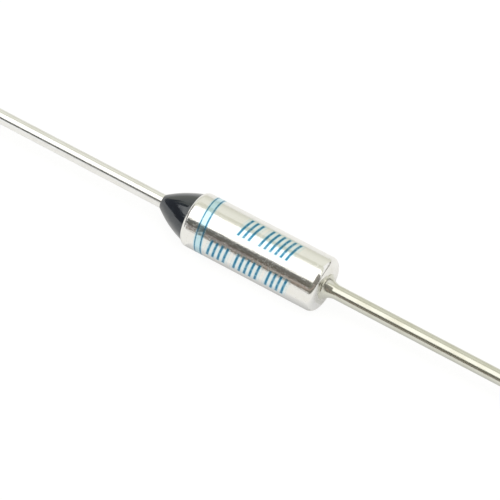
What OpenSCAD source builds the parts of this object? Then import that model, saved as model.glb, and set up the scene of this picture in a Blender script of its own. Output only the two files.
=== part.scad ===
// Axial thermal fuse of the pellet type, in millimetres.
// A plated metal can holds a fusible pellet, two springs and a sliding contact, which join two wire leads.
// The fuse lies along X. The origin is at the middle of the can, and the resin-sealed lead points to -X.

/* [Case] */
// Outer diameter of the can
case_od = 4.0; // [3.6:0.1:6.0]
// Length of the can, from its rolled mouth to its closed face
case_len = 10.5; // [9.5:0.1:16.0]
// Thickness of the can's side wall
case_wall = 0.25; // [0.15:0.05:0.35]
// Thickness of the can's closed end
case_end_t = 0.5; // [0.4:0.05:0.8]
// Outer corner radius of the closed end
case_corner_r = 0.5; // [0.2:0.05:0.6]
// Corner radius inside the closed end
case_floor_r = 0.15; // [0.05:0.05:0.25]
// Inside radius of the rolled mouth
lip_inner_r = 0.2; // [0.12:0.02:0.3]
// Angle that the mouth is rolled in by
lip_angle = 58; // [40:1:75]

/* [Leads] */
// Diameter of both wire leads
lead_d = 1.0; // [0.8:0.05:1.1]
// Free length of the lead in the resin, from the resin's tip
isolated_lead_len = 35; // [15:1:60]
// Free length of the lead on the can, from the closed face
case_lead_len = 35; // [15:1:60]
// Chamfer on the cut ends of the leads
lead_chamfer = 0.08; // [0.02:0.02:0.16]
// Length of the trumpet-shaped root on the can's closed face
flare_len = 0.9; // [0.5:0.1:1.6]
// How far the trumpet-shaped root spreads beyond the wire
flare_rim = 0.45; // [0.2:0.05:0.7]
// Edge thickness of the trumpet-shaped root
flare_land = 0.04; // [0.02:0.02:0.2]
// How far the rivet inside the closed end spreads beyond the wire
rivet_rim = 0.3; // [0.1:0.05:0.5]
// Depth of the rivet's countersink
rivet_t = 0.25; // [0.1:0.05:0.35]
// How far the contact head spreads beyond the wire
head_rim = 0.35; // [0.2:0.05:0.45]
// Thickness of the contact head
head_t = 0.4; // [0.25:0.05:0.8]
// Chamfer round the contact head
head_chamfer = 0.1; // [0.02:0.02:0.2]

/* [Resin seal] */
// How far the resin cone stands out of the can
resin_len = 2.5; // [1.6:0.1:4.0]
// Thickness of the resin round the lead at its tip
resin_tip_wall = 0.04; // [0.02:0.01:0.3]
// How far the cone's side bulges out from a straight line
resin_bulge = 0.12; // [0.02:0.01:0.2]
// Length of the pinched waist that anchors the lead in the resin
anchor_len = 1.2; // [0.6:0.1:1.4]
// Depth of the pinched waist
anchor_depth = 0.1; // [0.04:0.02:0.2]
// How far inside the resin's tip the waist begins
anchor_inset = 0.15; // [0.1:0.05:0.3]

/* [Ceramic bushing] */
// Length of the wide part of the bushing
bush_body_len = 2.2; // [1.6:0.1:3.0]
// Length of the bushing's nose
bush_nose_len = 1.3; // [0.9:0.1:2.0]
// Wall of the bushing's nose
bush_nose_wall = 0.38; // [0.25:0.01:0.45]

/* [Sliding contact] */
// Thickness of the contact's sheet
star_t = 0.12; // [0.08:0.01:0.16]
// Number of spring fingers
star_fingers = 10; // [6:1:14]
// Width of the slit between two fingers
star_slit_w = 0.22; // [0.12:0.02:0.4]
// Length of each finger along the can's wall
star_lip_len = 0.4; // [0.2:0.05:0.8]
// Flat margin of the contact's plate round the trip spring
star_margin = 0.08; // [0.04:0.02:0.15]

/* [Springs and pellet] */
// Length of the main spring as it is held
main_spring_len = 2.45; // [1.8:0.05:3.4]
// Wire diameter of the main spring
main_wire_d = 0.32; // [0.2:0.02:0.38]
// Number of turns of the main spring
main_turns = 4.25; // [3:0.25:5]
// Wire diameter of the trip spring
trip_wire_d = 0.2; // [0.12:0.02:0.24]
// Number of turns of the trip spring
trip_turns = 4; // [3:0.25:5]
// How much wider the trip spring is at the bushing
trip_flare = 0.22; // [0:0.02:0.3]
// Thickness of the two discs beside the main spring
disc_t = 0.25; // [0.15:0.05:0.4]
// Chamfer on the pellet's edges
pellet_chamfer = 0.12; // [0.04:0.02:0.2]

/* [Clearances] */
// Gap between the can's wall and what is loaded into it
load_gap = 0.05; // [0.03:0.01:0.08]
// Gap between the can's wall and the sliding contact's fingers
slide_gap = 0.01; // [0.005:0.005:0.03]
// Gap between the bushing and the can, and between the bushing and its lead
bush_gap = 0.02; // [0.01:0.005:0.04]
// Gap between the trip spring and what it goes round
coil_gap = 0.06; // [0.03:0.01:0.1]

/* [Hidden] */
$fn = 96;
// How far a cut reaches past the face that it opens
over = 0.5;

// Radii
case_r = case_od / 2;
case_ir = case_r - case_wall;
lead_r = lead_d / 2;
head_r = lead_r + head_rim;
bush_bore_r = lead_r + bush_gap;
bush_nose_r = bush_bore_r + bush_nose_wall;
bush_body_r = case_ir - bush_gap;
trip_inner_r = max(head_r, bush_nose_r) + coil_gap;
star_plate_r = trip_inner_r + trip_wire_d + star_margin;
finger_r = case_ir - slide_gap;
finger_bend_r = finger_r - star_plate_r;

// The rolled mouth bends about this circle, whose inner side hooks over the bushing's edge
lip_outer_r = lip_inner_r + case_wall;
lip_centre_r = case_ir - lip_inner_r;
bush_edge_r = lip_inner_r - bush_gap;

// Places along X, from the can's mouth
mouth_x = -case_len / 2;
lip_x = mouth_x + lip_outer_r * sin(lip_angle);
bush_face_x = lip_x - bush_edge_r;
shoulder_x = bush_face_x + bush_body_len;
nose_x = shoulder_x + bush_nose_len;
contact_x = nose_x + head_t;
spring_disc_x = contact_x + star_t;
main_spring_x = spring_disc_x + disc_t;
pellet_disc_x = main_spring_x + main_spring_len;
pellet_x = pellet_disc_x + disc_t;

// Places along X, from the can's closed face
face_x = case_len / 2;
floor_x = face_x - case_end_t;
case_lead_end_x = face_x + case_lead_len;

// Places along X, outside the can's mouth
resin_tip_x = mouth_x - resin_len;
anchor_x = resin_tip_x + anchor_inset;
isolated_lead_end_x = resin_tip_x - isolated_lead_len;

// Outline of the waist, for the lead and for the resin round it
anchor_waist = [[lead_r, anchor_x],
                [lead_r - anchor_depth, anchor_x + anchor_len / 2],
                [lead_r, anchor_x + anchor_len]];

// A coil spring's end coils are ground flat by this share of its wire
ground_share = 0.25;
// Free space between an end coil and its neighbour, as a share of the wire
end_coil_space = 0.06;
// Rings in one turn of a coil, and sides of its wire
coil_steps = 24;
coil_sides = 10;

silver_plate = [0.86, 0.86, 0.83];
tinned_wire = [0.80, 0.79, 0.74];
black_resin = [0.07, 0.07, 0.08];
white_ceramic = [0.93, 0.91, 0.86];
pellet_wax = [0.62, 0.74, 0.84];
spring_steel = [0.55, 0.56, 0.58];
yellow_brass = [0.80, 0.66, 0.34];

// Turns an outline of [radius, x] points about the X axis
module turned() {
    rotate([0, 90, 0]) rotate_extrude() children();
}

// Outline of a round bar from x0 to x1, with one rounded edge at x1
module rounded_bar(x0, x1, r, edge_r) {
    translate([0, x0]) square([r, x1 - edge_r - x0]);
    translate([0, x1 - edge_r - edge_r]) square([r - edge_r, 2 * edge_r]);
    translate([r - edge_r, x1 - edge_r]) circle(edge_r);
}

// Outline of a round bar from x0 to x1, with chamfered edges at its ends
module chamfered_bar(x0, x1, r, chamfer_0, chamfer_1) {
    polygon([[0, x0], [r - chamfer_0, x0], [r, x0 + chamfer_0],
             [r, x1 - chamfer_1], [r - chamfer_1, x1], [0, x1]]);
}

// Outline of a ring's sector round [r, x], from the outward direction towards -X by an angle
module ring_sector(r, x, outer, inner, angle) {
    far = 2 * outer;
    translate([r, x]) intersection() {
        difference() {
            circle(outer);
            circle(inner);
        }
        polygon([[0, 0], [far, 0], [far, -far * tan(angle / 2)], [far * cos(angle), -far * sin(angle)]]);
    }
}

// Distance that a coil spring has advanced after t turns: its end coils close gently onto their seats
function coil_rise(t, turns, travel, closed) =
    t < 1 ? closed * t * t
    : t > turns - 1 ? travel - closed * (turns - t) * (turns - t)
    : closed + (travel - 2 * closed) * (t - 1) / (turns - 2);

function between(v, low, high) = min(max(v, low), high);

// Coil spring from x0 to x1 with ground ends, and mean radius r0 at x0 and r1 at x1
module coil_spring(x0, x1, r0, r1, wire_d, turns) {
    ground = ground_share * wire_d;
    travel = x1 - x0 - wire_d + 2 * ground;
    closed = wire_d * (1 + end_coil_space);
    start_x = x0 + wire_d / 2 - ground;
    steps = ceil(turns * coil_steps);
    points = [
        for (i = [0:steps])
            let (t = turns * i / steps,
                 x = start_x + coil_rise(t, turns, travel, closed),
                 r = r0 + (r1 - r0) * t / turns)
            for (j = [0:coil_sides - 1])
                let (a = 360 * j / coil_sides,
                     ring_r = r + wire_d / 2 * sin(a))
                [between(x + wire_d / 2 * cos(a), x0, x1), ring_r * cos(360 * t), ring_r * sin(360 * t)]
    ];
    sides = [
        for (i = [0:steps - 1], j = [0:coil_sides - 1])
            let (k = (j + 1) % coil_sides,
                 a = i * coil_sides,
                 b = a + coil_sides)
            each [[a + j, b + k, b + j], [a + j, a + k, b + k]]
    ];
    first_end = [for (j = [coil_sides - 1:-1:0]) j];
    last_end = [for (j = [0:coil_sides - 1]) steps * coil_sides + j];
    polyhedron(points, concat(sides, [first_end], [last_end]));
}

// Outline of the rivet's countersunk hole through the closed end, also the rivet itself
module rivet_outline(from_x, to_x) {
    polygon([[0, from_x], [lead_r + rivet_rim, from_x], [lead_r + rivet_rim, floor_x],
             [lead_r, floor_x + rivet_t], [lead_r, to_x], [0, to_x]]);
}

// Drawn can with a riveted end and a mouth that is rolled in over the bushing
module metal_case() {
    color(silver_plate) turned() {
        difference() {
            rounded_bar(lip_x, face_x, case_r, case_corner_r);
            rounded_bar(lip_x - over, floor_x, case_ir, case_floor_r);
            rivet_outline(floor_x - over, face_x + over);
        }
        ring_sector(lip_centre_r, lip_x, lip_outer_r, lip_inner_r, lip_angle);
    }
}

// Wire riveted through the closed end, with a trumpet-shaped root on the outside
module case_lead() {
    root_x = face_x + flare_len;
    arc_len = flare_len - flare_land;
    arc_r = (arc_len * arc_len + flare_rim * flare_rim) / (2 * flare_rim);
    color(tinned_wire) turned() {
        rivet_outline(floor_x, face_x);
        difference() {
            translate([0, face_x]) square([lead_r + flare_rim, flare_len]);
            translate([lead_r + arc_r, root_x]) circle(arc_r);
        }
        chamfered_bar(face_x, case_lead_end_x, lead_r, 0, lead_chamfer);
    }
}

// Pressed pellet of organic compound, which melts when the fuse trips
module thermal_pellet() {
    color(pellet_wax) turned()
        chamfered_bar(pellet_x, floor_x, case_ir - load_gap, pellet_chamfer, case_floor_r);
}

// Disc that spreads the main spring's load over the pellet
module pellet_disc() {
    color(yellow_brass) turned()
        translate([0, pellet_disc_x]) square([case_ir - load_gap, disc_t]);
}

// Strong spring that holds the sliding contact against the isolated lead
module main_spring() {
    coil_r = star_plate_r - main_wire_d / 2;
    color(spring_steel)
        coil_spring(main_spring_x, pellet_disc_x, coil_r, coil_r, main_wire_d, main_turns);
}

// Disc between the main spring and the sliding contact
module spring_disc() {
    color(yellow_brass) turned()
        translate([0, spring_disc_x]) square([star_plate_r, disc_t]);
}

// Sheet-metal cup slit into spring fingers, which slide along the can's wall
module star_contact() {
    bend_x = contact_x + finger_bend_r;
    lip_end_x = bend_x + star_lip_len;
    slit_r = star_plate_r - star_margin;
    color(silver_plate) difference() {
        turned() {
            translate([0, contact_x]) square([star_plate_r, star_t]);
            ring_sector(star_plate_r, bend_x, finger_bend_r, finger_bend_r - star_t, 90);
            translate([finger_r - star_t, bend_x]) square([star_t, star_lip_len]);
        }
        for (i = [0:star_fingers - 1])
            rotate([360 * i / star_fingers, 0, 0])
                translate([contact_x - over, -star_slit_w / 2, slit_r])
                    cube([lip_end_x - contact_x + 2 * over, star_slit_w, finger_r - slit_r + over]);
    }
}

// Light spring that pushes the sliding contact off the isolated lead once the pellet has melted
module trip_spring() {
    coil_r = trip_inner_r + trip_wire_d / 2;
    color(spring_steel)
        coil_spring(shoulder_x, contact_x, coil_r + trip_flare, coil_r, trip_wire_d, trip_turns);
}

// Ceramic insulator under the rolled mouth, with a nose that carries the contact head
module ceramic_bushing() {
    color(white_ceramic) turned() difference() {
        union() {
            mirror([0, 1]) rounded_bar(-shoulder_x, -bush_face_x, bush_body_r, bush_edge_r);
            translate([0, shoulder_x - over]) square([bush_nose_r, bush_nose_len + over]);
        }
        translate([0, bush_face_x - over]) square([bush_bore_r, nose_x - bush_face_x + 2 * over]);
    }
}

// Wire through the bushing, with a waist in the resin and a head that is the fixed contact
module isolated_lead() {
    cut_end = [[0, isolated_lead_end_x],
               [lead_r - lead_chamfer, isolated_lead_end_x],
               [lead_r, isolated_lead_end_x + lead_chamfer]];
    color(tinned_wire) turned() {
        polygon(concat(cut_end, anchor_waist, [[lead_r, contact_x], [0, contact_x]]));
        chamfered_bar(nose_x, contact_x, head_r, 0, head_chamfer);
    }
}

// Black resin that fills the mouth and tapers along the isolated lead in a slightly bulging cone
module sealing_resin() {
    lip_in = [lip_centre_r + bush_edge_r / tan(lip_angle), bush_face_x];
    lip_out = [lip_centre_r + lip_outer_r * cos(lip_angle), mouth_x];
    tip = [lead_r + resin_tip_wall, resin_tip_x];
    side = tip - lip_out;
    chord = norm(side);
    bulge_r = chord * chord / (8 * resin_bulge) + resin_bulge / 2;
    inward = [side[1], -side[0]] / chord;
    bulge_centre = (lip_out + tip) / 2 + inward * (bulge_r - resin_bulge);
    color(black_resin) turned() intersection() {
        polygon(concat([[lead_r, bush_face_x], lip_in, lip_out,
                        lip_out - inward * 2 * resin_bulge, tip - inward * 2 * resin_bulge,
                        tip, [lead_r, resin_tip_x]], anchor_waist));
        translate(bulge_centre) circle(bulge_r, $fn = 360);
    }
}

metal_case();
case_lead();
thermal_pellet();
pellet_disc();
main_spring();
spring_disc();
star_contact();
trip_spring();
ceramic_bushing();
isolated_lead();
sealing_resin();
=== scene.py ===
"""Axial thermal fuse on a pale studio floor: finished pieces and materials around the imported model."""

import math

import bmesh
import bpy
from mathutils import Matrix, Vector


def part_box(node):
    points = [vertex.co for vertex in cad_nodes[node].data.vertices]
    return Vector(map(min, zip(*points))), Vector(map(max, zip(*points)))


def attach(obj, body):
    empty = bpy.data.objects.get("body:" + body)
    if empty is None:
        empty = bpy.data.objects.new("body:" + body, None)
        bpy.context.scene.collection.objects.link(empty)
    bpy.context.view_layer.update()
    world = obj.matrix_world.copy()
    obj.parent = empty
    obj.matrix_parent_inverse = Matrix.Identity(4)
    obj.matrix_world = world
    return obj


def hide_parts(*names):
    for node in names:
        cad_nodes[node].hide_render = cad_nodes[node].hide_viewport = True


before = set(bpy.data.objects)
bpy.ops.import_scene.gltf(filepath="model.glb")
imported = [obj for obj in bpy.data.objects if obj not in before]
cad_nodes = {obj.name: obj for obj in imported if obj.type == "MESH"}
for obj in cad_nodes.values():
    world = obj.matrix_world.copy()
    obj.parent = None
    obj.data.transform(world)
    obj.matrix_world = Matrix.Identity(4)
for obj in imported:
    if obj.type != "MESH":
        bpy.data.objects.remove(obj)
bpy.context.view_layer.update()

# Sizes are in millimetres, as in the part's source. Only what reaches Blender is turned into metres.
MM = 0.001
BODY = "root"


def node_span(node):
    """Lowest and highest X of a CAD node, and its outer radius."""
    low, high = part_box(node)
    return low.x / MM, high.x / MM, max(high.z, -low.z) / MM


MOUTH_X, FACE_X, CASE_R = node_span("metal_case")
CASE_WALL = 0.25
CASE_IR = CASE_R - CASE_WALL
CASE_CORNER_R = 0.5
CASE_FLOOR_R = 0.15
CASE_END_T = 0.5
FLOOR_X = FACE_X - CASE_END_T
LIP_INNER_R = 0.2
LIP_OUTER_R = LIP_INNER_R + CASE_WALL
LIP_ANGLE = math.radians(58)
LIP_CENTRE_R = CASE_IR - LIP_INNER_R
LIP_X = MOUTH_X + LIP_OUTER_R * math.sin(LIP_ANGLE)

LEAD_R = 0.5
LEAD_CHAMFER = 0.08
CASE_LEAD_END_X = node_span("case_lead")[1]
FLARE_LEN = 0.9
FLARE_RIM = 0.45
FLARE_LAND = 0.04
RIVET_RIM = 0.3
RIVET_T = 0.25

LEAD_START_X, CONTACT_X, HEAD_R = node_span("isolated_lead")
HEAD_T = 0.4
HEAD_CHAMFER = 0.1
NOSE_X = CONTACT_X - HEAD_T

RESIN_TIP_X, BUSH_FACE_X, _ = node_span("sealing_resin")
RESIN_TIP_WALL = 0.04
RESIN_BULGE = 0.12
RESIN_UNEVENNESS = 0.007
ANCHOR_INSET = 0.15
ANCHOR_X = RESIN_TIP_X + ANCHOR_INSET
ANCHOR_LEN = 1.2
ANCHOR_DEPTH = 0.1
ANCHOR_WAIST = [
    (ANCHOR_X, LEAD_R),
    (ANCHOR_X + ANCHOR_LEN / 2, LEAD_R - ANCHOR_DEPTH),
    (ANCHOR_X + ANCHOR_LEN, LEAD_R),
]

SPRING_PLATE_R = node_span("spring_disc")[2]
MAIN_WIRE = 0.32
MAIN_TURNS = 4.25
MAIN_COIL_R = SPRING_PLATE_R - MAIN_WIRE / 2
TRIP_WIRE = 0.2
TRIP_TURNS = 4
TRIP_FLARE = 0.22
TRIP_MARGIN = 0.08
TRIP_COIL_R = SPRING_PLATE_R - TRIP_MARGIN - TRIP_WIRE / 2
COIL_GROUND_SHARE = 0.25
COIL_END_SPACE = 0.06

FLOOR_Z = -CASE_R
# Painted floor shadows seen in reflections lie this far above the floor and fade out to this floor tone.
FLOOR_SHADE_LIFT = 0.01
OPEN_FLOOR_SHADE = (0.93, 0.93, 0.92)


def colour(red, green, blue):
    """An opaque colour for a socket."""
    return (red, green, blue, 1.0)


class Value:
    """A node's output socket, for use in Python expressions."""

    def __init__(self, graph, socket):
        self.graph = graph
        self.socket = socket

    def __add__(self, other):
        return self.graph.math("ADD", self, other)

    def __radd__(self, other):
        return self.graph.math("ADD", other, self)

    def __sub__(self, other):
        return self.graph.math("SUBTRACT", self, other)

    def __rsub__(self, other):
        return self.graph.math("SUBTRACT", other, self)

    def __mul__(self, other):
        return self.graph.math("MULTIPLY", self, other)

    def __rmul__(self, other):
        return self.graph.math("MULTIPLY", other, self)

    def __truediv__(self, other):
        return self.graph.math("DIVIDE", self, other)

    def __rtruediv__(self, other):
        return self.graph.math("DIVIDE", other, self)

    def __pow__(self, other):
        return self.graph.math("POWER", self, other)

    def __neg__(self):
        return self.graph.math("MULTIPLY", self, -1.0)

    def __abs__(self):
        return self.graph.math("ABSOLUTE", self)

    def of(self, name):
        """Another output of the same node."""
        return Value(self.graph, self.socket.node.outputs[name])


class Graph:
    """Adds nodes to a shader, world or geometry tree."""

    def __init__(self, tree):
        self.tree = tree

    def node(self, kind, settings=None, inputs=None, output=0):
        """One node of any kind: its settings first, then the values or links of its sockets."""
        made = self.tree.nodes.new(kind)
        for key, setting in (settings or {}).items():
            setattr(made, key, setting)
        for key, given in (inputs or {}).items():
            if isinstance(given, Value):
                self.tree.links.new(given.socket, made.inputs[key])
            else:
                made.inputs[key].default_value = given
        return Value(self, made.outputs[output]) if made.outputs else made

    def math(self, operation, *terms):
        """A Math node on values or numbers."""
        return self.node("ShaderNodeMath", {"operation": operation}, dict(enumerate(terms)))

    def least(self, a, b):
        return self.math("MINIMUM", a, b)

    def most(self, a, b):
        return self.math("MAXIMUM", a, b)

    def ease(self, value, start, end):
        """0 before start, 1 after end, and a smooth step between them. end may be the lower one."""
        settings = {"interpolation_type": "SMOOTHSTEP", "clamp": True}
        if start < end:
            low, high, first, last = start, end, 0.0, 1.0
        else:
            low, high, first, last = end, start, 1.0, 0.0
        inputs = {"Value": value, "From Min": low, "From Max": high, "To Min": first, "To Max": last}
        return self.node("ShaderNodeMapRange", settings, inputs)

    def blend(self, factor, first, second):
        """first where factor is 0, second where it is 1, for colours."""
        settings = {"data_type": "RGBA", "blend_type": "MIX", "clamp_factor": True}
        return self.node("ShaderNodeMix", settings, {0: factor, 6: first, 7: second}, output=2)

    def split(self, vector):
        made = self.node("ShaderNodeSeparateXYZ", inputs={0: vector})
        return made.of("X"), made.of("Y"), made.of("Z")

    def join(self, x, y, z):
        return self.node("ShaderNodeCombineXYZ", inputs={0: x, 1: y, 2: z})


class Finish(Graph):
    """A material whose pattern is laid out in millimetres on the piece's own coordinates."""

    def __init__(self, name):
        self.material = bpy.data.materials.new(name)
        self.material.use_nodes = True
        super().__init__(self.material.node_tree)
        self.shader = self.tree.nodes["Principled BSDF"]
        self.place = self.node("ShaderNodeTexCoord").of("Object")
        x, y, z = self.split(self.place)
        self.x = x / MM
        self.y = y / MM
        self.z = z / MM

    def noise(self, size, detail=3.0, roughness=0.55, warp=0.0):
        """Soft noise from 0 to 1, with grains of about size millimetres along X, Y and Z."""
        placed = {"Vector": self.place, "Scale": tuple(1 / (MM * s) for s in size)}
        vector = self.node("ShaderNodeMapping", {"vector_type": "POINT"}, placed)
        look = {"Scale": 1.0, "Detail": detail, "Roughness": roughness, "Distortion": warp}
        return self.node("ShaderNodeTexNoise", {"noise_dimensions": "3D"}, {"Vector": vector, **look})

    def pits(self, size, width):
        """1 in round specks of about width millimetres, spread at about size millimetres, 0 elsewhere."""
        spread = {"Vector": self.place, "Scale": 1 / (MM * size)}
        cells = self.node("ShaderNodeTexVoronoi", {"feature": "F1"}, spread)
        return self.ease(cells.of("Distance"), width / size, 0.4 * width / size)

    def set(self, **sockets):
        """Sets or links the shader's sockets, by name with spaces as underscores."""
        for key, given in sockets.items():
            socket = self.shader.inputs[key.replace("_", " ")]
            if isinstance(given, Value):
                self.tree.links.new(given.socket, socket)
            else:
                socket.default_value = given

    def relief(self, height, depth):
        """Bump from a height of 0 to 1 that stands depth millimetres high."""
        bump = self.node("ShaderNodeBump", inputs={"Strength": 1.0, "Distance": depth * MM, "Height": height})
        self.tree.links.new(bump.socket, self.shader.inputs["Normal"])


# Printed marks on the can, along X and round the wall from the front upwards.
# Rings by their place and width; they sit a little askew.
RINGS = ((-4.1, 0.09), (-3.64, 0.12))
RING_TILT = 0.07
# Hatched fields, by their first and last line and by where they start and end round the wall.
FIELDS = (
    (-4, -2, 2.4, 4.05), (0, 5, 2.4, 4.05),
    (-7, -4, -0.1, 1.28), (-2, 2, -0.1, 1.28), (4, 7, -0.1, 1.28),
)
HATCH_STEP = 0.42
HATCH_W = 0.17
HATCH_SLANT = 0.16
# Half the width over which the ink fades out at its edges.
INK_FADE = 0.03


def printed_marks(finish):
    """How much ink lies on the can's outside, and how much of a thin wash lies round it."""
    x = finish.x
    up_wall = finish.math("ARCTAN2", finish.z, -finish.y) * CASE_R
    along = x + RING_TILT * finish.y
    leaning = x - HATCH_SLANT * up_wall
    gap = None
    for first, last, low, high in FIELDS:
        beside = abs(leaning - (first + last) / 2 * HATCH_STEP) - (last - first + 1) / 2 * HATCH_STEP
        above = abs(up_wall - (low + high) / 2) - (high - low) / 2
        field = finish.most(beside, above)
        gap = field if gap is None else finish.least(gap, field)
    gap = finish.most(gap, finish.math("PINGPONG", leaning, HATCH_STEP / 2) - HATCH_W / 2)
    for place, width in RINGS:
        gap = finish.least(gap, abs(along - place) - width / 2)
    first_x, last_x = RINGS[0][0], RINGS[-1][0]
    between = abs(along - (first_x + last_x) / 2) - (last_x - first_x) / 2
    outside = finish.ease((finish.y ** 2.0 + finish.z ** 2.0) ** 0.5, CASE_R - 0.1, CASE_R - 0.05)
    patchy = 0.75 + 0.25 * finish.ease(finish.noise((0.22, 0.22, 0.22)), 0.35, 0.55)
    ink = finish.ease(gap, INK_FADE, -INK_FADE) * patchy * outside
    bleed = 0.4 * finish.ease(gap, 0.14, 0.0)
    film = 0.48 * finish.ease(between, 0.12, -0.06)
    return ink, finish.most(bleed, film) * outside


def silver_plate():
    """Bright plate on the drawn can: faint drawing streaks, matt specks, warm tarnish and blue print."""
    finish = Finish("silver_plate")
    streaks = finish.noise((1.6, 0.11, 0.11), detail=4.0, roughness=0.6)
    grain = finish.noise((0.16, 0.12, 0.12), detail=2.0)
    swell = finish.noise((2.2, 0.9, 0.9), detail=1.0)
    matt = finish.ease(finish.noise((0.22, 0.1, 0.1), detail=3.0), 0.45, 0.7)
    scratch = finish.ease(finish.noise((0.05, 1.1, 1.1), detail=2.0, warp=0.4), 0.63, 0.7)
    tarnish = finish.ease(finish.noise((2.6, 1.3, 1.3), detail=5.0, roughness=0.65), 0.45, 0.75)
    ink, wash = printed_marks(finish)
    plate = finish.blend(tarnish * 0.6, colour(0.87, 0.865, 0.835), colour(0.82, 0.795, 0.725))
    printed = finish.blend(wash, plate, colour(0.26, 0.73, 0.9))
    finish.set(
        Base_Color=finish.blend(ink, printed, colour(0.035, 0.22, 0.37)),
        Metallic=1.0 - 0.12 * finish.most(ink, wash),
        Roughness=0.07 + 0.06 * streaks + 0.05 * tarnish + 0.17 * matt + 0.1 * scratch + 0.1 * ink,
    )
    finish.relief(streaks + 0.35 * grain + 0.9 * swell + 0.4 * ink, 0.005)
    return finish.material


# At a cut end the copper is bare inside this radius, and the tin is whole outside the next one.
BARE_R, TINNED_R = 0.4, 0.425


def tinned_wire(name, shade, warmth):
    """Tin over drawn copper wire, bare at the cut ends; shade is how pale the tin is, warmth how yellow."""
    finish = Finish(name)
    lines = finish.noise((4.0, 0.07, 0.07), detail=4.0, roughness=0.65)
    patches = finish.ease(finish.noise((1.3, 0.5, 0.5), detail=4.0), 0.4, 0.7)
    nicks = finish.pits(1.1, 0.16)
    radius = (finish.y ** 2.0 + finish.z ** 2.0) ** 0.5
    at_cut = finish.most(
        finish.ease(finish.x, LEAD_START_X + 0.02, LEAD_START_X + 0.01),
        finish.ease(finish.x, CASE_LEAD_END_X - 0.02, CASE_LEAD_END_X - 0.01),
    )
    smear = finish.noise((0.3, 0.05, 0.4), detail=4.0, roughness=0.6, warp=0.2)
    bare = at_cut * finish.ease(radius + 0.05 * smear, TINNED_R, BARE_R)
    bright_copper, dull_copper = colour(0.86, 0.5, 0.33), colour(0.66, 0.35, 0.22)
    copper = finish.blend(finish.ease(smear, 0.4, 0.65), bright_copper, dull_copper)
    bright = colour(shade, shade, shade - warmth)
    worn = colour(shade - 0.07, shade - 0.08, shade - 0.1 - warmth)
    tin = finish.blend(patches * 0.7, bright, worn)
    finish.set(
        Base_Color=finish.blend(bare, tin, copper),
        Metallic=1.0,
        Roughness=0.13 + 0.08 * lines + 0.06 * patches + 0.1 * nicks + 0.15 * at_cut,
    )
    finish.relief(0.6 * lines + 0.3 * patches - 0.8 * nicks + 6.0 * at_cut * smear, 0.0016)
    return finish.material


def black_resin():
    """Cast black epoxy: a smooth skin with slight flow waves, pinholes and dust."""
    finish = Finish("black_resin")
    waves = finish.noise((0.9, 0.6, 0.6), detail=2.0)
    skin = finish.noise((0.12, 0.12, 0.12), detail=3.0)
    dust = finish.pits(0.55, 0.05)
    haze = finish.ease(finish.noise((0.7, 0.4, 0.4), detail=4.0), 0.4, 0.75)
    body = finish.blend(haze, colour(0.006, 0.009, 0.015), colour(0.013, 0.018, 0.025))
    finish.set(
        Base_Color=finish.blend(dust * 0.4, body, colour(0.1, 0.1, 0.1)),
        Roughness=0.07 + 0.06 * haze + 0.04 * skin + 0.2 * dust,
        IOR=1.6,
        Specular_Tint=colour(0.9, 0.97, 1.0),
        Coat_Weight=0.7 - 0.3 * haze,
        Coat_Roughness=0.05,
    )
    finish.relief(waves + 0.04 * skin - 0.2 * dust, 0.012)
    return finish.material


def bushing_ceramic():
    """Dense unglazed ceramic: fine grain, a cloudy tone and a few grey specks."""
    finish = Finish("bushing_ceramic")
    grain = finish.noise((0.06, 0.06, 0.06), detail=4.0)
    cloud = finish.noise((0.9, 0.9, 0.9), detail=2.0)
    specks = finish.pits(0.8, 0.07)
    body = finish.blend(cloud, colour(0.9, 0.88, 0.82), colour(0.84, 0.81, 0.74))
    finish.set(
        Base_Color=finish.blend(specks * 0.6, body, colour(0.45, 0.42, 0.38)),
        Roughness=0.55 + 0.2 * grain,
    )
    finish.relief(grain - 0.4 * specks, 0.004)
    return finish.material


def pellet_compound():
    """Pressed waxy granules, with a slight bloom."""
    finish = Finish("pellet_compound")
    granules = finish.noise((0.18, 0.18, 0.18), detail=4.0, warp=0.3)
    bloom = finish.ease(finish.noise((0.6, 0.6, 0.6), detail=3.0), 0.4, 0.7)
    finish.set(
        Base_Color=finish.blend(bloom, colour(0.42, 0.6, 0.76), colour(0.64, 0.75, 0.83)),
        Roughness=0.45 + 0.25 * bloom,
    )
    finish.relief(granules, 0.012)
    return finish.material


def stamped_brass():
    """Stamped brass sheet with rolling lines and brown tarnish."""
    finish = Finish("disc_brass")
    rolled = finish.noise((1.0, 0.05, 1.6), detail=3.0)
    tarnish = finish.ease(finish.noise((0.8, 0.8, 0.8), detail=4.0), 0.45, 0.75)
    finish.set(
        Base_Color=finish.blend(tarnish, colour(0.83, 0.66, 0.33), colour(0.6, 0.43, 0.2)),
        Metallic=1.0,
        Roughness=0.2 + 0.12 * rolled + 0.15 * tarnish,
    )
    finish.relief(rolled, 0.002)
    return finish.material


def spring_steel():
    """Drawn spring wire with a faint straw tint from stress relief."""
    finish = Finish("spring_steel")
    tint = finish.ease(finish.noise((0.7, 0.7, 0.7), detail=3.0), 0.35, 0.7)
    drawn = finish.noise((0.05, 0.05, 0.05), detail=3.0)
    finish.set(
        Base_Color=finish.blend(tint, colour(0.56, 0.57, 0.58), colour(0.52, 0.46, 0.36)),
        Metallic=1.0,
        Roughness=0.22 + 0.15 * drawn,
    )
    finish.relief(drawn, 0.001)
    return finish.material


def contact_silver():
    """Silver-plated sheet with grey wipe marks from sliding."""
    finish = Finish("contact_silver")
    wiped = finish.ease(finish.noise((1.2, 0.08, 0.08), detail=3.0), 0.5, 0.7)
    finish.set(
        Base_Color=finish.blend(wiped, colour(0.9, 0.89, 0.86), colour(0.7, 0.68, 0.64)),
        Metallic=1.0,
        Roughness=0.14 + 0.16 * wiped,
    )
    finish.relief(wiped, 0.001)
    return finish.material


SHARP_TURN = math.radians(32)


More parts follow.
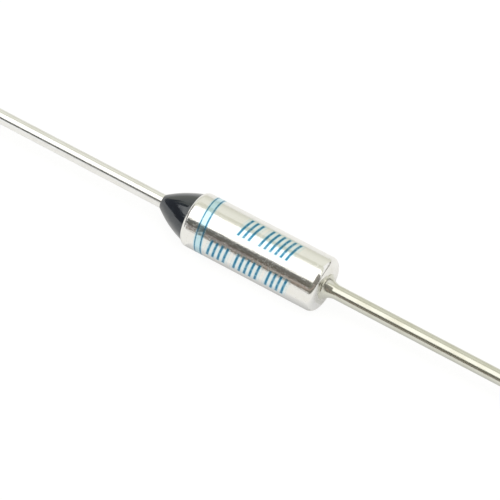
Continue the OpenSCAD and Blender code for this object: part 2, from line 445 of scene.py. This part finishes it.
def arc(x, r, radius, start, end, steps):
    """Points [x, radius] on an arc; angles are in degrees from the outward direction towards +X."""
    angles = [math.radians(start + (end - start) * i / steps) for i in range(steps + 1)]
    return [(x + radius * math.sin(a), r + radius * math.cos(a)) for a in angles]


def braced(outline, closed):
    """The outline with a point close to each end of its long straight runs, so that they are shaded flat."""
    margin = 0.03
    points = []
    for here, after in zip(outline, outline[1:] + outline[:1]):
        points.append(here)
        length = math.dist(here, after)
        if length > 8 * margin and (closed or here is not outline[-1]):
            for share in (margin / length, 1 - margin / length):
                points.append(tuple(a + (b - a) * share for a, b in zip(here, after)))
    return points


def turned(name, outline, material, segments, closed, unevenness=None):
    """Turns an outline of (x, r) points in millimetres about the X axis into a closed mesh.

    A closed outline runs back to its first point, and an open one has both ends on the axis.
    unevenness(x, r, angle) is what a point's radius gains.
    """
    outline = braced(outline, closed)
    count = len(outline)
    mesh = bmesh.new()
    rings = []
    for x, r in outline:
        if r == 0:
            rings.append([mesh.verts.new((x * MM, 0, 0))] * segments)
            continue
        ring = []
        for k in range(segments):
            a = 2 * math.pi * k / segments
            grown = r + (unevenness(x, r, a) if unevenness else 0)
            ring.append(mesh.verts.new((x * MM, -grown * math.cos(a) * MM, grown * math.sin(a) * MM)))
        rings.append(ring)
    for i in range(count if closed else count - 1):
        low, high = rings[i], rings[(i + 1) % count]
        for k in range(segments):
            j = (k + 1) % segments
            corners = list(dict.fromkeys((low[k], low[j], high[j], high[k])))
            mesh.faces.new(corners).smooth = True
    for i in range(count) if closed else range(1, count - 1):
        before, here, after = outline[i - 1], outline[i], outline[(i + 1) % count]
        into = math.atan2(here[1] - before[1], here[0] - before[0])
        out = math.atan2(after[1] - here[1], after[0] - here[0])
        turn = abs((out - into + math.pi) % (2 * math.pi) - math.pi)
        if turn > SHARP_TURN:
            for k in range(segments):
                mesh.edges.get((rings[i][k], rings[i][(k + 1) % segments])).smooth = False
    bmesh.ops.recalc_face_normals(mesh, faces=mesh.faces)
    data = bpy.data.meshes.new(name)
    mesh.to_mesh(data)
    mesh.free()
    return finished(name, data, material)


def finished(name, data, material):
    """An object at the origin with its one material."""
    data.materials.clear()
    data.materials.append(material)
    piece = bpy.data.objects.new(name, data)
    bpy.context.scene.collection.objects.link(piece)
    return piece


def plated_can(material):
    """Drawn can: rolled mouth, wall, rounded corner, closed end with its riveted hole, and the inside."""
    lip_end = math.degrees(LIP_ANGLE)
    outline = arc(LIP_X, LIP_CENTRE_R, LIP_OUTER_R, -lip_end, 0, 20)
    outline += arc(FACE_X - CASE_CORNER_R, CASE_R - CASE_CORNER_R, CASE_CORNER_R, 0, 90, 20)
    outline += [(FACE_X, LEAD_R), (FLOOR_X + RIVET_T, LEAD_R), (FLOOR_X, LEAD_R + RIVET_RIM)]
    outline += arc(FLOOR_X - CASE_FLOOR_R, CASE_IR - CASE_FLOOR_R, CASE_FLOOR_R, 90, 0, 8)
    outline += arc(LIP_X, LIP_CENTRE_R, LIP_INNER_R, 0, -lip_end, 12)
    return turned("plated_can", outline, material, segments=224, closed=True)


def riveted_lead(material):
    """Wire through the closed end, with its rivet inside and its trumpet-shaped root outside."""
    arc_len = FLARE_LEN - FLARE_LAND
    arc_r = (arc_len ** 2 + FLARE_RIM ** 2) / (2 * FLARE_RIM)
    sweep = math.degrees(math.asin(arc_len / arc_r))
    outline = [(FLOOR_X, 0), (FLOOR_X, LEAD_R + RIVET_RIM), (FLOOR_X + RIVET_T, LEAD_R), (FACE_X, LEAD_R)]
    outline += [(FACE_X, LEAD_R + FLARE_RIM)]
    outline += arc(FACE_X + FLARE_LEN, LEAD_R + arc_r, arc_r, 180 + sweep, 180, 24)
    outline += [(CASE_LEAD_END_X - LEAD_CHAMFER, LEAD_R), (CASE_LEAD_END_X, LEAD_R - LEAD_CHAMFER)]
    outline += [(CASE_LEAD_END_X, 0)]
    return turned("riveted_lead", outline, material, segments=112, closed=False)


def headed_lead(material):
    """Wire through the resin, with its waist and its contact head."""
    outline = [(LEAD_START_X, 0), (LEAD_START_X, LEAD_R - LEAD_CHAMFER)]
    outline += [(LEAD_START_X + LEAD_CHAMFER, LEAD_R), *ANCHOR_WAIST, (NOSE_X, LEAD_R), (NOSE_X, HEAD_R)]
    outline += [(CONTACT_X - HEAD_CHAMFER, HEAD_R), (CONTACT_X, HEAD_R - HEAD_CHAMFER), (CONTACT_X, 0)]
    return turned("headed_lead", outline, material, segments=112, closed=False)


def resin_cone(material):
    """Resin that fills the mouth and tapers along the wire in a slightly bulging cone."""
    lip_r = LIP_CENTRE_R + LIP_OUTER_R * math.cos(LIP_ANGLE)
    tip_r = LEAD_R + RESIN_TIP_WALL
    seat_r = LIP_CENTRE_R + (LIP_X - BUSH_FACE_X) / math.tan(LIP_ANGLE)
    run, rise = RESIN_TIP_X - MOUTH_X, tip_r - lip_r
    chord = math.hypot(run, rise)
    outward = (rise / chord, -run / chord)
    steps = 48
    outline = [(BUSH_FACE_X, LEAD_R), (BUSH_FACE_X, seat_r)]
    for i in range(steps + 1):
        u = i / steps
        bulge = 4 * RESIN_BULGE * u * (1 - u)
        outline.append((MOUTH_X + run * u + outward[0] * bulge, lip_r + rise * u + outward[1] * bulge))
    outline += [(RESIN_TIP_X, LEAD_R), *ANCHOR_WAIST]

    def flow(x, r, a):
        """The resin set a little unevenly on its open side."""
        along = (x - MOUTH_X) / run
        if r <= LEAD_R or along <= 0 or along >= 1:
            return 0
        swell = math.sin(2 * a + 0.6) + 0.6 * math.sin(3 * a + 5 * along) + 0.4 * math.sin(5 * a - 4 * along)
        return RESIN_UNEVENNESS * swell * math.sin(math.pi * along)

    return turned("resin_cone", outline, material, segments=160, closed=True, unevenness=flow)


class Coil(Graph):
    """Geometry tree of a coil spring with closed, ground ends, along the X axis."""

    SIZES = ("Start X", "End X", "Start Radius", "End Radius", "Wire", "Turns", "Ground Share", "End Space")

    def __init__(self, material, rings_per_turn=56, sides=18):
        super().__init__(bpy.data.node_groups.new("coil_spring", "GeometryNodeTree"))
        self.names = {}
        for name in self.SIZES:
            socket = self.tree.interface.new_socket(name, in_out="INPUT", socket_type="NodeSocketFloat")
            self.names[name] = socket.identifier
        self.tree.interface.new_socket("Geometry", in_out="OUTPUT", socket_type="NodeSocketGeometry")
        given = self.node("NodeGroupInput")
        size = {name: given.of(name) for name in self.SIZES}
        start_x, end_x, wire, turns = size["Start X"], size["End X"], size["Wire"], size["Turns"]

        ground = size["Ground Share"] * wire
        travel = end_x - start_x - wire + 2.0 * ground
        closed = wire * (1.0 + size["End Space"])
        steps = self.math("CEIL", turns * rings_per_turn)
        turn = self.node("GeometryNodeInputIndex") * turns / steps
        first = self.least(turn, 1.0)
        middle = self.most(self.least(turn, turns - 1.0) - 1.0, 0.0)
        last = 1.0 - self.most(turn - (turns - 1.0), 0.0)
        open_rise = (travel - 2.0 * closed) / (turns - 2.0)
        rise = closed * first ** 2.0 + open_rise * middle + closed * (1.0 - last ** 2.0)
        radius = size["Start Radius"] + (size["End Radius"] - size["Start Radius"]) * turn / turns
        angle = turn * (2 * math.pi)
        centre = self.join(
            start_x + wire / 2.0 - ground + rise,
            radius * self.math("COSINE", angle),
            radius * self.math("SINE", angle),
        )

        line = self.node("GeometryNodeMeshLine", inputs={"Count": steps + 1.0})
        path = self.node("GeometryNodeMeshToCurve", inputs={"Mesh": line})
        path = self.node("GeometryNodeSetPosition", inputs={"Geometry": path, "Position": centre})
        round_wire = {"Resolution": sides, "Radius": wire / 2.0}
        section = self.node("GeometryNodeCurvePrimitiveCircle", inputs=round_wire)
        swept = {"Curve": path, "Profile Curve": section, "Fill Caps": True}
        tube = self.node("GeometryNodeCurveToMesh", inputs=swept)
        x, y, z = self.split(self.node("GeometryNodeInputPosition"))
        seated = self.join(self.least(self.most(x, start_x), end_x), y, z)
        tube = self.node("GeometryNodeSetPosition", inputs={"Geometry": tube, "Position": seated})
        tube = self.node("GeometryNodeRealizeInstances", inputs={"Geometry": tube})
        tube = self.node("GeometryNodeSetMaterial", inputs={"Geometry": tube, "Material": material})
        self.node("NodeGroupOutput", inputs={"Geometry": tube})

    def wind(self, name, **sizes):
        """A plain mesh of one spring; sizes are in millimetres, apart from turns and shares."""
        holder = bpy.data.objects.new(name + "_path", bpy.data.meshes.new(name + "_path"))
        bpy.context.scene.collection.objects.link(holder)
        modifier = holder.modifiers.new("coil", "NODES")
        modifier.node_group = self.tree
        plain = ("turns", "ground_share", "end_space")
        for key, amount in sizes.items():
            socket = self.names[key.replace("_", " ").title()]
            modifier[socket] = float(amount) if key in plain else amount * MM
        depsgraph = bpy.context.evaluated_depsgraph_get()
        data = bpy.data.meshes.new_from_object(holder.evaluated_get(depsgraph), depsgraph=depsgraph)
        material = data.materials[0]
        holder.modifiers.remove(modifier)
        bpy.data.objects.remove(holder)
        data.name = name
        data.shade_smooth()
        return finished(name, data, material)


def wound_springs(material):
    """Both springs at the length at which the fuse holds them: the main one, and the one that trips it."""
    coil = Coil(material)
    ends = {"ground_share": COIL_GROUND_SHARE, "end_space": COIL_END_SPACE}
    main_start, main_end, _ = node_span("main_spring")
    main_spring = coil.wind(
        "wound_main_spring", start_x=main_start, end_x=main_end, start_radius=MAIN_COIL_R,
        end_radius=MAIN_COIL_R, wire=MAIN_WIRE, turns=MAIN_TURNS, **ends,
    )
    trip_start, trip_end, _ = node_span("trip_spring")
    trip_spring = coil.wind(
        "wound_trip_spring", start_x=trip_start, end_x=trip_end, start_radius=TRIP_COIL_R + TRIP_FLARE,
        end_radius=TRIP_COIL_R, wire=TRIP_WIRE, turns=TRIP_TURNS, **ends,
    )
    return main_spring, trip_spring


def in_picture(graph, direct, mirrored):
    """direct for rays from the camera, mirrored for reflected and transmitted ones, 0 for the rest."""
    path = graph.node("ShaderNodeLightPath")
    bounced = graph.most(path.of("Is Glossy Ray"), path.of("Is Transmission Ray"))
    return graph.most(path.of("Is Camera Ray") * direct, bounced * mirrored)


def stage_floor():
    """Pale floor that stays white round the object and keeps its soft shadow."""
    reach = 3.0
    data = bpy.data.meshes.new("pale_floor")
    corners = [(-reach, -reach), (reach, -reach), (reach, reach), (-reach, reach)]
    data.from_pydata([(x, y, FLOOR_Z * MM) for x, y in corners], [], [(0, 1, 2, 3)])
    material = bpy.data.materials.new("pale_floor")
    material.use_nodes = True
    material.cycles.emission_sampling = "NONE"
    graph = Graph(material.node_tree)
    material.node_tree.nodes.clear()
    lit = graph.node("ShaderNodeBsdfDiffuse", inputs={"Color": colour(0.94, 0.94, 0.935)})
    white = graph.node("ShaderNodeEmission", inputs={"Color": colour(1.0, 1.0, 0.995), "Strength": 1.05})
    shown = in_picture(graph, direct=0.86, mirrored=0.15)
    surface = graph.node("ShaderNodeMixShader", inputs={0: shown, 1: lit, 2: white})
    graph.node("ShaderNodeOutputMaterial", inputs={"Surface": surface})
    finished("pale_floor", data, material)


def studio_world():
    """White surround in the picture and in reflections, and a soft even light."""
    world = bpy.data.worlds.new("studio")
    bpy.context.scene.world = world
    world.use_nodes = True
    world.cycles.sampling_method = "NONE"
    graph = Graph(world.node_tree)
    world.node_tree.nodes.clear()
    soft = graph.node("ShaderNodeBackground", inputs={"Color": colour(1.0, 1.0, 0.99), "Strength": 0.33})
    white = graph.node("ShaderNodeBackground", inputs={"Color": colour(1.0, 1.0, 1.0), "Strength": 1.0})
    shown = in_picture(graph, direct=1.0, mirrored=1.0)
    surface = graph.node("ShaderNodeMixShader", inputs={0: shown, 1: soft, 2: white})
    graph.node("ShaderNodeOutputWorld", inputs={"Surface": surface})


def overhead_softbox(height):
    """Wide soft lamp above the object, with a black cover on top and a dull skirt along its back edge."""
    lamp = bpy.data.lights.new("overhead_softbox", "AREA")
    lamp.shape = "RECTANGLE"
    lamp.size = 3.6 * height
    lamp.size_y = 1.15 * height
    lamp.energy = 4.85
    lamp.color = (1.0, 0.985, 0.955)
    holder = bpy.data.objects.new("overhead_softbox", lamp)
    holder.location = (-0.1 * height, -0.235 * height, height)
    bpy.context.scene.collection.objects.link(holder)
    x, y, _ = holder.location
    ends_x = x - lamp.size / 2, x + lamp.size / 2
    front = [(end_x, y - lamp.size_y / 2) for end_x in ends_x]
    back = [(end_x, y + lamp.size_y / 2) for end_x in ends_x]
    cover_z, skirt_z = 1.01 * height, 0.46 * height
    black = (0.0, 0.0, 0.0)
    studio_card("softbox_cover", at_height(front, cover_z), at_height(back, cover_z), black, black)
    studio_card("softbox_skirt", *upright(back, skirt_z, height), (0.68, 0.68, 0.57), (0.86, 0.86, 0.79))


def around(radius, start, end, steps=48):
    """Points in metres on a circle round the object; angles are in degrees from the front towards +X."""
    angles = [math.radians(start + (end - start) * i / steps) for i in range(steps + 1)]
    return [(radius * math.sin(a), -radius * math.cos(a)) for a in angles]


def at_height(path, z):
    """A path of (x, y) points, lifted to z."""
    return [(x, y, z) for x, y in path]


def upright(path, low, high):
    """The two edges of an upright card along a path."""
    return at_height(path, low), at_height(path, high)


def studio_card(name, first_edge, second_edge, first_shade, second_shade):
    """Card between two edges of points in metres, with a shade at each, seen in reflections only."""
    data = bpy.data.meshes.new(name)
    count = len(first_edge)
    faces = [(i, i + 1, count + i + 1, count + i) for i in range(count - 1)]
    data.from_pydata(first_edge + second_edge, [], faces)
    share = data.attributes.new("share", "FLOAT", "POINT")
    share.data.foreach_set("value", [0.0] * count + [1.0] * count)
    material = bpy.data.materials.new(name)
    material.use_nodes = True
    material.cycles.emission_sampling = "NONE"
    graph = Graph(material.node_tree)
    material.node_tree.nodes.clear()
    across = graph.node("ShaderNodeAttribute", {"attribute_name": "share"}).of("Fac")
    shade = graph.blend(across, colour(*first_shade), colour(*second_shade))
    glow = graph.node("ShaderNodeEmission", inputs={"Color": shade, "Strength": 1.0})
    graph.node("ShaderNodeOutputMaterial", inputs={"Surface": glow})
    card = finished(name, data, material)
    card.visible_camera = False
    card.visible_diffuse = False
    card.visible_transmission = False
    card.visible_shadow = False


def floor_shade(name, start_x, end_x, near_y, far_y, shade):
    """Card just above the floor with a painted contact shadow, which darkens the floor's mirror image, most
    along near_y.
    """
    z = (FLOOR_Z + FLOOR_SHADE_LIFT) * MM
    near, far = (at_height([(x * MM, y * MM) for x in (start_x, end_x)], z) for y in (near_y, far_y))
    studio_card(name, near, far, (shade, shade, shade), OPEN_FLOOR_SHADE)


def photo_camera():
    """Camera at the photograph's viewing angle, for a square picture 500 pixels wide."""
    azimuth, elevation = math.radians(32.41), math.radians(55.65)
    distance = 180.0
    pixels_per_mm = 14.84
    origin_px = (259.8, 252.0)
    picture_px = 500
    level, rise = math.cos(elevation), math.sin(elevation)
    back = Vector((math.sin(azimuth) * level, -math.cos(azimuth) * level, rise))
    right = Vector((math.cos(azimuth), math.sin(azimuth), 0))
    up = back.cross(right)
    aside = (picture_px / 2 - origin_px[0]) / pixels_per_mm
    above = (origin_px[1] - picture_px / 2) / pixels_per_mm
    data = bpy.data.cameras.new("photo_camera")
    data.sensor_width = 36.0
    data.lens = pixels_per_mm * distance * data.sensor_width / picture_px
    data.clip_start = 0.01
    data.clip_end = 10.0
    camera = bpy.data.objects.new("photo_camera", data)
    camera.location = (back * distance + right * aside + up * above) * MM
    camera.rotation_mode = "QUATERNION"
    camera.rotation_quaternion = (-back).to_track_quat("-Z", "Y")
    bpy.context.scene.collection.objects.link(camera)
    bpy.context.scene.camera = camera


def mount(piece, node):
    """The piece stands for a CAD node: it joins the body, and the node is hidden."""
    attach(piece, BODY)
    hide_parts(node)


# Upright cards that only reflections show, far from the object or near it: a path in metres,
# the height of the lowest and highest edge, and the shade at each.
FAR, NEAR = 0.7, 0.06
WALL_SHADES = (0.14, 0.14, 0.14), (0.14, 0.13, 0.12)
STUDIO_CARDS = {
    "left_curtain": (around(FAR, -50, -22), 0.28, 1.05, (0.055, 0.065, 0.06), (0.26, 0.26, 0.25)),
    "front_curtain": (around(FAR, -22, -17), 0.28, 1.05, (0.12, 0.095, 0.08), (0.3, 0.29, 0.27)),
    "right_curtain": (around(FAR, -17, 66), 0.28, 1.05, (0.125, 0.13, 0.1), (0.34, 0.35, 0.3)),
    "front_shelf": (around(NEAR, -18.5, 66), 0.017, 0.024, (0.42, 0.34, 0.29), (0.5, 0.4, 0.35)),
    "left_shelf": (around(NEAR, -25.7, -18.5), 0.017, 0.024, (0.25, 0.23, 0.23), (0.25, 0.23, 0.23)),
    "front_base": (around(NEAR, -25.7, -10), 0.007, 0.017, (0.24, 0.21, 0.18), (0.24, 0.2, 0.17)),
    "right_base": (around(NEAR, -10, 66), 0.004, 0.017, (0.18, 0.18, 0.15), (0.18, 0.17, 0.14)),
    "left_wall": (around(FAR, -94, -62), 0.05, 0.33, *WALL_SHADES),
    "left_step": (around(FAR, -62, -38), 0.0, 0.26, *WALL_SHADES),
    "left_post": (around(FAR, -114, -94), 0.05, 0.6, *WALL_SHADES),
    "right_screen": ([(0.15, -0.6), (0.15, 0.015)], 0.0, 0.5, (0.2, 0.19, 0.17), (0.24, 0.23, 0.2)),
    "right_skirting": (around(0.69, 66, 160), 0.0, 0.12, (0.22, 0.21, 0.19), (0.24, 0.23, 0.2)),
    "back_foot": (around(FAR, -112, -200), 0.0, 0.4, (0.7, 0.7, 0.61), (0.9, 0.9, 0.82)),
    "back_card": (around(FAR, -112, -200), 0.4, 1.0, (0.88, 0.88, 0.8), (0.93, 0.93, 0.86)),
}

photo_camera()
bpy.context.scene.view_settings.view_transform = "Standard"
studio_world()
stage_floor()
overhead_softbox(height=0.5)
for card, (path, low, high, low_shade, high_shade) in STUDIO_CARDS.items():
    studio_card(card, *upright(path, low, high), low_shade, high_shade)
# Painted contact shadows under the can and the case lead, which only reflections show.
floor_shade("front_contact_shade", MOUTH_X, FACE_X, near_y=-1.5, far_y=-4.3, shade=0.52)
floor_shade("back_contact_shade", MOUTH_X, FACE_X, near_y=1.5, far_y=4.3, shade=0.52)
floor_shade("lead_shade", FACE_X, CASE_LEAD_END_X, near_y=-0.3, far_y=-4.5, shade=0.7)

mount(plated_can(silver_plate()), "metal_case")
case_tin = tinned_wire("tinned_wire", shade=0.69, warmth=0.075)
pale_tin = tinned_wire("tinned_wire_pale", shade=0.86, warmth=0.02)
mount(riveted_lead(case_tin), "case_lead")
mount(headed_lead(pale_tin), "isolated_lead")
mount(resin_cone(black_resin()), "sealing_resin")

main_spring, trip_spring = wound_springs(spring_steel())
mount(main_spring, "main_spring")
mount(trip_spring, "trip_spring")

# CAD pieces whose shape stays, with their finish.
brass = stamped_brass()
carried_over = {
    "thermal_pellet": pellet_compound(), "pellet_disc": brass, "spring_disc": brass,
    "star_contact": contact_silver(), "ceramic_bushing": bushing_ceramic(),
}
for node, material in carried_over.items():
    cad_nodes[node].data.materials.clear()
    cad_nodes[node].data.materials.append(material)
